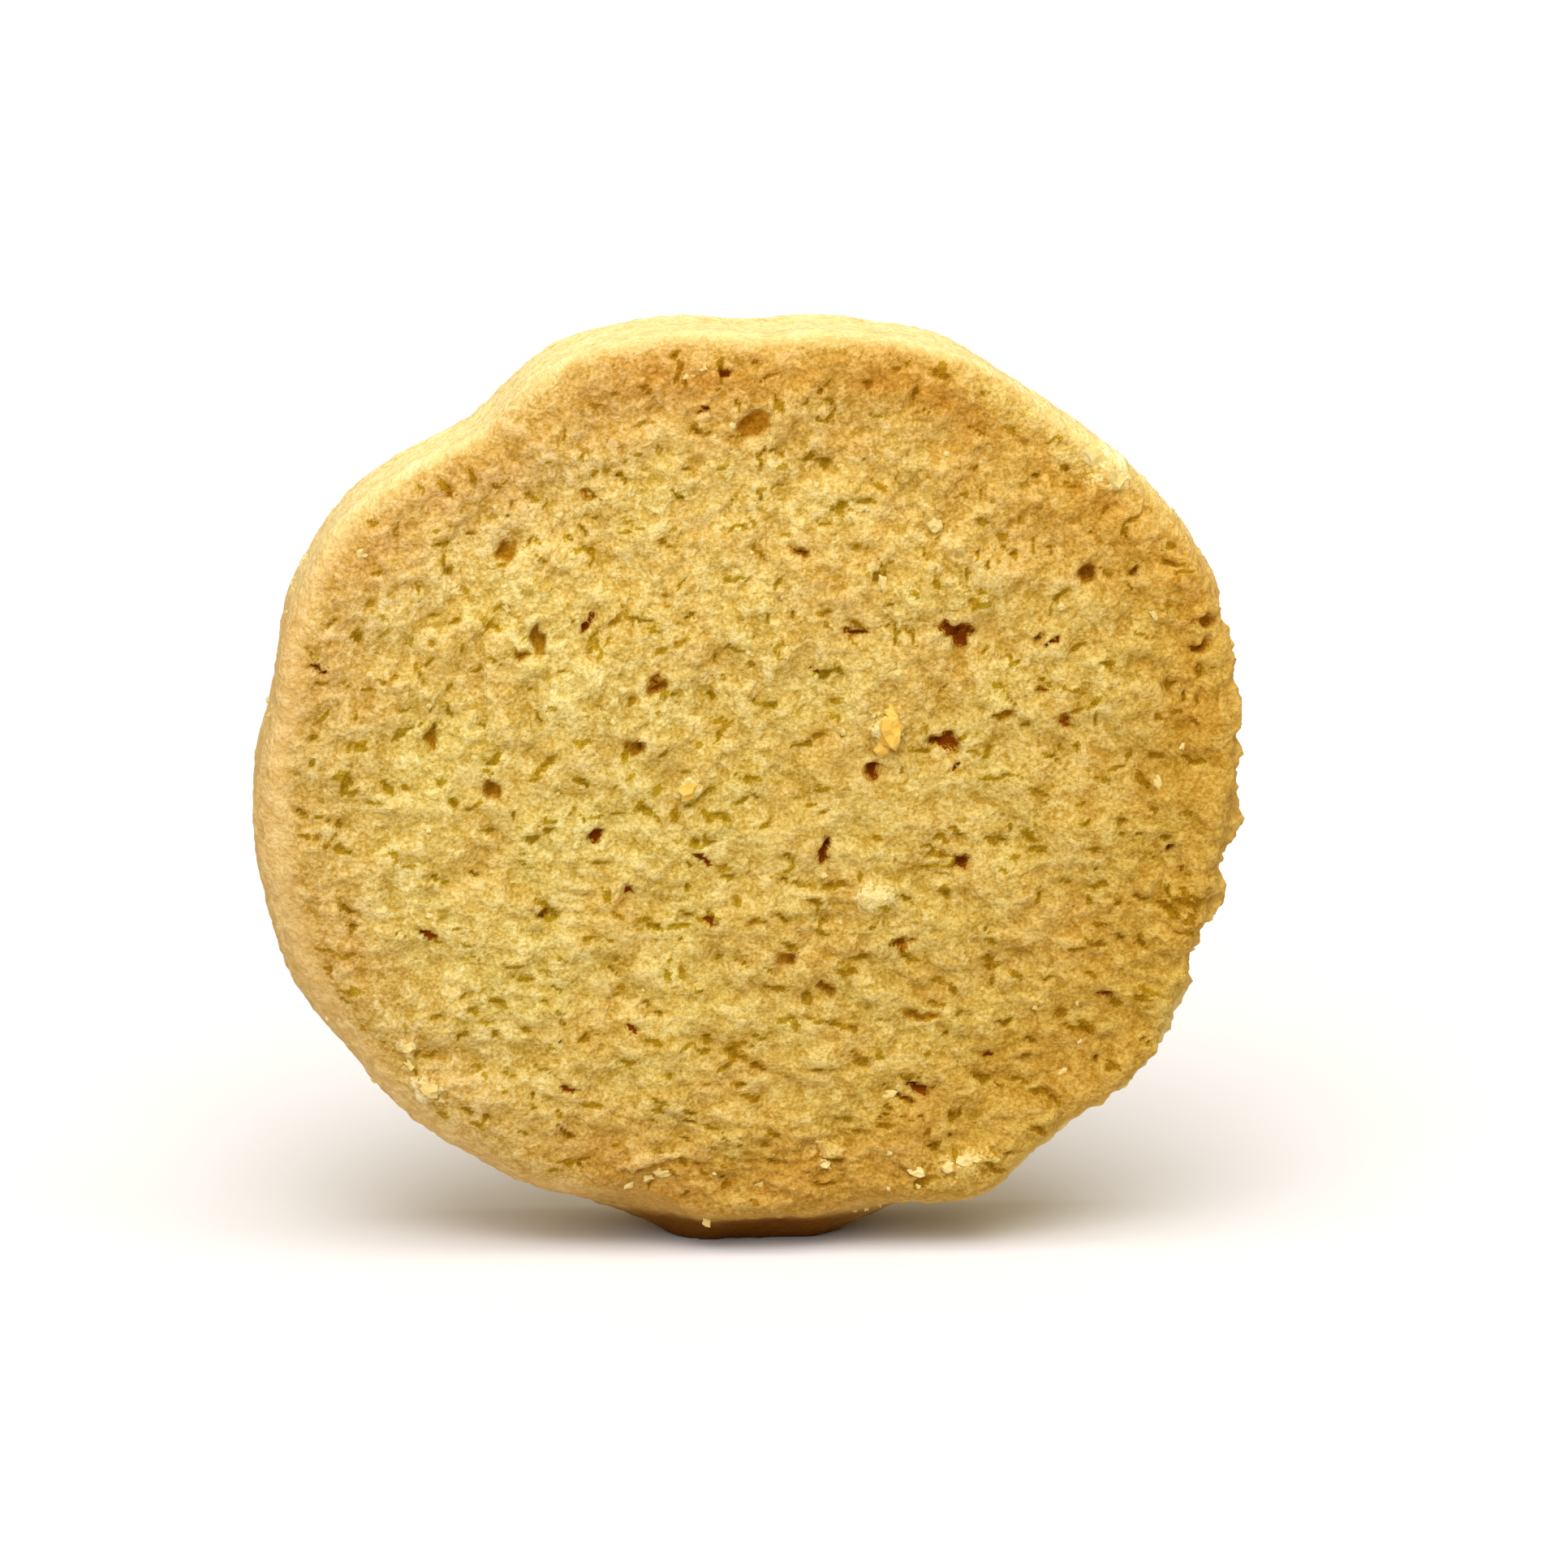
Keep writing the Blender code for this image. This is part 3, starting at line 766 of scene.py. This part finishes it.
def place_on_solid(mesh, shift):
    """Turns millimetres into metres and sets the mesh where the solid is."""
    for vertex in mesh.vertices:
        vertex.co = (vertex.co - shift) * MM


def middle_of(mesh):
    """The point of the slice's own frame that the solid's origin falls on."""
    corners = [vertex.co for vertex in mesh.vertices]
    middle_x = (min(c.x for c in corners) + max(c.x for c in corners)) / 2
    middle_y = (min(c.y for c in corners) + max(c.y for c in corners)) / 2
    return Vector((middle_x, middle_y, -FOOT_BELOW_MIDDLE))


def add_crumb(body, place, size, turn, draw):
    """One small angular lump of crumb about a place."""
    about = Matrix.Rotation(-math.radians(turn), 3, "Y")
    about = about @ Matrix.Rotation(draw.uniform(-CRUMB_TILT, CRUMB_TILT), 3, "X")
    seed = Vector((draw.uniform(0.0, 90.0), draw.uniform(0.0, 90.0), draw.uniform(0.0, 90.0)))
    lump = bmesh.ops.create_icosphere(body, subdivisions=2, radius=0.5)
    for vertex in lump["verts"]:
        rough = 1.0 + CRUMB_ROUGHNESS * noise.noise(CRUMB_DENTS * vertex.co + seed)
        blocky = vertex.co * rough / (2.0 * max(abs(vertex.co.x), abs(vertex.co.y), abs(vertex.co.z))) ** 0.5
        vertex.co = place + about @ Vector((blocky.x * size.x, blocky.y * size.y, blocky.z * size.z))


def surface_of(slice_mesh):
    return BVHTree.FromPolygons([vertex.co for vertex in slice_mesh.vertices],
                                [tuple(face.vertices) for face in slice_mesh.polygons])


def told_crumbs(surface, crumbs, body, draw):
    """Crumbs at places of their own on the cut face, each sunk a little into it."""
    for crumb in crumbs:
        start = Vector((crumb.x, -THICKNESS, crumb.z))
        place, normal, face, away = surface.ray_cast(start, Vector((0.0, 1.0, 0.0)))
        if place is not None:
            size = Vector((crumb.width, TOLD_CRUMB_DEPTH * min(crumb.width, crumb.height), crumb.height))
            add_crumb(body, place + CRUMB_SUNK * Vector((0.0, 1.0, 0.0)), size, crumb.turn, draw)


def finished(body, name):
    mesh = bpy.data.meshes.new(name)
    body.to_mesh(mesh)
    body.free()
    return mesh


def butter_mesh(slice_mesh):
    """The few waxy yellow bits of the cut face."""
    body = bmesh.new()
    told_crumbs(surface_of(slice_mesh), BUTTER_BITS, body, random.Random(BUTTER_SEED))
    return finished(body, "butter_bits")


def face_crumbs(surface, body, draw):
    """Small crumbs strewn over the cut face."""
    for i in range(FACE_CRUMB_COUNT):
        angle = math.radians(draw.uniform(0.0, 360.0))
        away = math.sqrt(draw.random()) * (WIDTH / 2 - SHOULDER_RADIUS)
        start = Vector((away * math.cos(angle), -THICKNESS, away * math.sin(angle)))
        place, normal, face, away = surface.ray_cast(start, Vector((0.0, 1.0, 0.0)))
        size = draw.uniform(*FACE_CRUMB_SIZES)
        box = Vector((size * draw.uniform(*FACE_CRUMB_STRETCH), FACE_CRUMB_DEPTH * size, size))
        add_crumb(body, place, box, draw.uniform(-90.0, 90.0), draw)


def edge_crumbs(surface, body, draw):
    """Small crumbs that cling to the edge in clusters, at the left and at the right."""
    for i in range(EDGE_CLUSTER_COUNT):
        if draw.random() < LEFT_SHARE:
            middle = draw.gauss(LEFT_MIDDLE, LEFT_SPREAD)
        else:
            middle = draw.gauss(RIGHT_MIDDLE, RIGHT_SPREAD)
        depth = draw.uniform(*EDGE_CLUSTER_DEPTHS)
        for j in range(draw.randint(*EDGE_CLUSTER_CRUMBS)):
            angle = math.radians(draw.gauss(middle, EDGE_CLUSTER_TURN))
            outward = Vector((math.cos(angle), 0.0, math.sin(angle)))
            start = outward * WIDTH + Vector((0.0, depth + draw.gauss(0.0, EDGE_CLUSTER_REACH), 0.0))
            place, normal, face, away = surface.ray_cast(start, -outward)
            size = draw.uniform(*EDGE_CRUMB_SIZES)
            box = Vector((size * draw.uniform(*EDGE_CRUMB_STRETCH), size, size))
            place -= EDGE_CRUMB_SUNK * size * outward
            add_crumb(body, place, box, draw.uniform(-90.0, 90.0), draw)


def crumb_mesh(slice_mesh):
    """All the pale loose crumbs of the cut face and of the edge."""
    draw = random.Random(CRUMB_SEED)
    surface = surface_of(slice_mesh)
    body = bmesh.new()
    told_crumbs(surface, CRUMBS, body, draw)
    face_crumbs(surface, body, draw)
    edge_crumbs(surface, body, draw)
    return finished(body, "pale_crumbs")


class Shader:
    """Short ways to add and join the nodes of one material."""

    def __init__(self, name):
        self.material = bpy.data.materials.new(name)
        self.material.use_nodes = True
        self.tree = self.material.node_tree
        self.surface = self.tree.nodes["Principled BSDF"]

    def link(self, value, socket):
        if isinstance(value, tuple):
            socket.default_value = (*value, 1.0)
        elif isinstance(value, float):
            socket.default_value = value
        else:
            self.tree.links.new(value, socket)

    def attribute(self, name):
        node = self.tree.nodes.new("ShaderNodeAttribute")
        node.attribute_name = name
        return node.outputs["Fac"]

    def mix(self, share, first, second):
        node = self.tree.nodes.new("ShaderNodeMix")
        node.data_type = "RGBA"
        self.link(share, node.inputs["Factor"])
        self.link(first, node.inputs[6])
        self.link(second, node.inputs[7])
        return node.outputs[2]

    def tint(self, share, colour, tint):
        """The colour, multiplied by the tint as far as the share says."""
        tinted = self.mix(share, colour, tint)
        tinted.node.blend_type = "MULTIPLY"
        return tinted

    def maths(self, operation, first, second):
        node = self.tree.nodes.new("ShaderNodeMath")
        node.operation = operation
        self.link(first, node.inputs[0])
        self.link(second, node.inputs[1])
        return node.outputs[0]

    def times(self, first, second):
        return self.maths("MULTIPLY", first, second)

    def plus(self, first, second):
        return self.maths("ADD", first, second)

    def weighed(self, values, weights):
        """The sum of the values, each times its weight."""
        total = self.times(values[0], weights[0])
        for value, weight in zip(values[1:], weights[1:]):
            total = self.plus(total, self.times(value, weight))
        return total

    def ramp(self, value, stops):
        """Colours between which the value runs, each with the place where it is whole."""
        node = self.tree.nodes.new("ShaderNodeValToRGB")
        elements = node.color_ramp.elements
        while len(elements) < len(stops):
            elements.new(1.0)
        for element, (place, colour) in zip(elements, stops):
            element.position = place
            element.color = (*colour, 1.0)
        self.link(value, node.inputs[0])
        return node.outputs["Color"]

    def stretched(self, value, low, high):
        """The value with low to high spread over 0 to 1."""
        node = self.tree.nodes.new("ShaderNodeMapRange")
        node.inputs["From Min"].default_value = low
        node.inputs["From Max"].default_value = high
        self.link(value, node.inputs["Value"])
        return node.outputs["Result"]

    def noise(self, size, detail):
        place = self.tree.nodes.new("ShaderNodeTexCoord")
        texture = self.tree.nodes.new("ShaderNodeTexNoise")
        texture.inputs["Scale"].default_value = 1.0 / size
        texture.inputs["Detail"].default_value = detail
        self.tree.links.new(place.outputs["Object"], texture.inputs["Vector"])
        return texture

    def clouds(self, size, detail, low, high):
        """Noise with features of a size in metres, stretched so that low to high becomes 0 to 1."""
        return self.stretched(self.noise(size, detail).outputs["Fac"], low, high)

    def flakes(self, size, ragged):
        """A random value for each of the ragged cells of a size in metres."""
        place = self.tree.nodes.new("ShaderNodeTexCoord")
        push = self.tree.nodes.new("ShaderNodeVectorMath")
        push.operation = "MULTIPLY_ADD"
        push.inputs[1].default_value = (ragged, ragged, ragged)
        self.tree.links.new(self.noise(0.7 * size, 3.0).outputs["Color"], push.inputs[0])
        self.tree.links.new(place.outputs["Object"], push.inputs[2])
        texture = self.tree.nodes.new("ShaderNodeTexVoronoi")
        texture.inputs["Scale"].default_value = 1.0 / size
        self.tree.links.new(push.outputs[0], texture.inputs["Vector"])
        apart = self.tree.nodes.new("ShaderNodeSeparateColor")
        self.tree.links.new(texture.outputs["Color"], apart.inputs[0])
        return apart.outputs[0]

    def crisp(self, share, ragged, edge):
        """A share cut off sharply at the edge value, with the outline broken up by the ragged noise."""
        return self.stretched(self.plus(share, ragged), edge - CRISP_HALF_WIDTH, edge + CRISP_HALF_WIDTH)

    def bump(self, height, strength, distance):
        node = self.tree.nodes.new("ShaderNodeBump")
        node.inputs["Strength"].default_value = strength
        node.inputs["Distance"].default_value = distance
        self.tree.links.new(height, node.inputs["Height"])
        self.tree.links.new(node.outputs["Normal"], self.surface.inputs["Normal"])


def dough_material():
    shader = Shader("baked_dough")
    surface = shader.surface
    surface.inputs["Roughness"].default_value = 0.75
    surface.inputs["Specular IOR Level"].default_value = 0.05
    surface.inputs["Subsurface Weight"].default_value = 0.12
    surface.inputs["Subsurface Radius"].default_value = (1.0, 0.55, 0.2)
    surface.inputs["Subsurface Scale"].default_value = SUBSURFACE_DEPTH * MM

    plate = shader.flakes(PLATE_SIZE * MM, PLATE_RAGGEDNESS * MM)
    speck = shader.flakes(SPECK_SIZE * MM, SPECK_RAGGEDNESS * MM)
    fine = shader.clouds(FINE_SIZE * MM, 4.0, 0.33, 0.67)
    ragged = shader.times(shader.plus(fine, -0.5), RAGGED_SHARE)
    relief = shader.attribute("relief")

    # Hollows darker and raised crumb paler: partly the crumb's own colour, partly painted shade
    level = shader.weighed((relief, plate, speck, fine), LEVEL_WEIGHTS)
    crumb = shader.ramp(level, CRUMB_COLOURS)
    crumb = shader.tint(shader.clouds(TONE_SIZE * MM, 3.0, 0.4, 0.7), crumb, TAN_TINT)
    patches = shader.clouds(MOTTLE_SIZE * MM, 4.0, 0.3, 0.7)
    # The skin's mottle also darkens its hollows, partly as painted shade
    mottle = shader.weighed((patches, speck, relief), MOTTLE_WEIGHTS)
    # Painted light: paler skin colours where it faces up and along the edge highlights
    crust = shader.mix(shader.attribute("cream"), shader.ramp(mottle, CRUST_COLOURS),
                       shader.ramp(mottle, LIT_SKIN_COLOURS))
    colour = shader.mix(shader.attribute("skin"), crumb, crust)
    for name, tint in TINTS:
        colour = shader.tint(shader.attribute(name), colour, tint)
    # Holes darkened partly as painted shade
    for name, edge, tint in CRISP_TINTS:
        colour = shader.tint(shader.crisp(shader.attribute(name), ragged, edge), colour, tint)
    # Painted shade in the deep middles of pores and dark pits
    colour = shader.mix(shader.crisp(shader.attribute("core"), ragged, CORE_EDGE), colour, CORE_SHADE_COLOUR)
    # Painted shade: the underside of the foot's front is darkened
    colour = shader.mix(shader.attribute("under"), colour, FOOT_SHADE_COLOUR)
    shader.link(colour, surface.inputs["Base Color"])

    grit = shader.clouds(BUMP_SIZE * MM, 4.0, 0.3, 0.7)
    shader.bump(shader.weighed((grit, plate, speck), BUMP_WEIGHTS), BUMP_STRENGTH, BUMP_HEIGHT * MM)
    return shader.material


def crumb_material(name, darker, lighter):
    shader = Shader(name)
    surface = shader.surface
    surface.inputs["Roughness"].default_value = 0.7
    surface.inputs["Specular IOR Level"].default_value = 0.2
    colour = shader.mix(shader.clouds(LOOSE_TONE_SIZE * MM, 3.0, 0.45, 0.75), darker, lighter)
    shader.link(colour, surface.inputs["Base Color"])
    grit = shader.clouds(LOOSE_BUMP_SIZE * MM, 3.0, 0.3, 0.7)
    shader.bump(grit, LOOSE_BUMP_STRENGTH, LOOSE_BUMP_HEIGHT * MM)
    return shader.material


def add_piece(name, mesh, material):
    """Makes a piece of the visual model that moves with the biscuit."""
    mesh.materials.append(material)
    piece = bpy.data.objects.new(name, mesh)
    bpy.context.scene.collection.objects.link(piece)
    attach(piece, "root")
    return piece


def build_biscuit():
    mesh = remeshed(make_slice())
    push_relief(mesh)
    crumbs = crumb_mesh(mesh)
    butter = butter_mesh(mesh)
    shift = middle_of(mesh)
    for part in (mesh, crumbs, butter):
        place_on_solid(part, shift)
    mesh.shade_smooth()
    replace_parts(add_piece("crumbly_biscuit", mesh, dough_material()), "biscuit")
    add_piece("pale_crumbs", crumbs, crumb_material("pale_crumb", *LOOSE_CRUMB_COLOURS))
    add_piece("butter_bits", butter, crumb_material("butter_yellow", *BUTTER_COLOURS))


def build_floor():
    shader = Shader("white_table")
    shader.surface.inputs["Roughness"].default_value = 0.8
    shader.surface.inputs["Specular IOR Level"].default_value = 0.2
    paper = shader.mix(shader.clouds(TABLE_PATCH_SIZE * MM, 3.0, 0.3, 0.7), *TABLE_COLOURS)
    shader.link(paper, shader.surface.inputs["Base Color"])
    bpy.ops.mesh.primitive_plane_add(size=TABLE_SIDE)
    floor = bpy.context.object
    floor.name = "table_top"
    floor.data.materials.append(shader.material)


def build_lights():
    for sun in SUNS:
        data = bpy.data.lights.new(sun.name, "SUN")
        data.energy = sun.strength
        data.angle = math.radians(sun.width)
        data.color = (1.0, 1.0, 1.0)
        light = bpy.data.objects.new(sun.name, data)
        bpy.context.scene.collection.objects.link(light)
        level = math.cos(math.radians(sun.elevation))
        azimuth = math.radians(sun.azimuth)
        toward = Vector((level * math.sin(azimuth), -level * math.cos(azimuth),
                         math.sin(math.radians(sun.elevation))))
        light.rotation_euler = (-toward).to_track_quat("-Z", "Y").to_euler()

    world = bpy.data.worlds.new("white_room")
    world.use_nodes = True
    background = world.node_tree.nodes["Background"]
    background.inputs["Color"].default_value = ROOM_COLOUR
    background.inputs["Strength"].default_value = ROOM_STRENGTH
    bpy.context.scene.world = world


def build_camera():
    """Frames the biscuit as the photograph does: the same place in the picture and the same size."""
    elevation = math.radians(CAMERA_ELEVATION)
    azimuth = math.radians(CAMERA_AZIMUTH)
    away = Vector((math.sin(azimuth) * math.cos(elevation), -math.cos(azimuth) * math.cos(elevation),
                   math.sin(elevation)))
    right = Vector((math.cos(azimuth), math.sin(azimuth), 0.0))
    up = away.cross(right)
    column, row = PHOTO_MIDDLE_OF_BISCUIT
    aside = (PHOTO_SIDE / 2 - column) * PHOTO_MM_PER_PIXEL
    above = (row - PHOTO_SIDE / 2) * PHOTO_MM_PER_PIXEL
    target = Vector((0.0, 0.0, FOOT_BELOW_MIDDLE)) + right * aside + up * above

    data = bpy.data.cameras.new("photo_camera")
    data.sensor_width = SENSOR
    data.lens = SENSOR * CAMERA_DISTANCE / (PHOTO_SIDE * PHOTO_MM_PER_PIXEL)
    data.clip_start = 0.01
    camera = bpy.data.objects.new("photo_camera", data)
    bpy.context.scene.collection.objects.link(camera)
    camera.location = (target + away * CAMERA_DISTANCE) * MM
    camera.rotation_euler = (-away).to_track_quat("-Z", "Y").to_euler()
    bpy.context.scene.camera = camera


build_biscuit()
build_floor()
build_lights()
build_camera()
bpy.context.scene.view_settings.view_transform = "Standard"
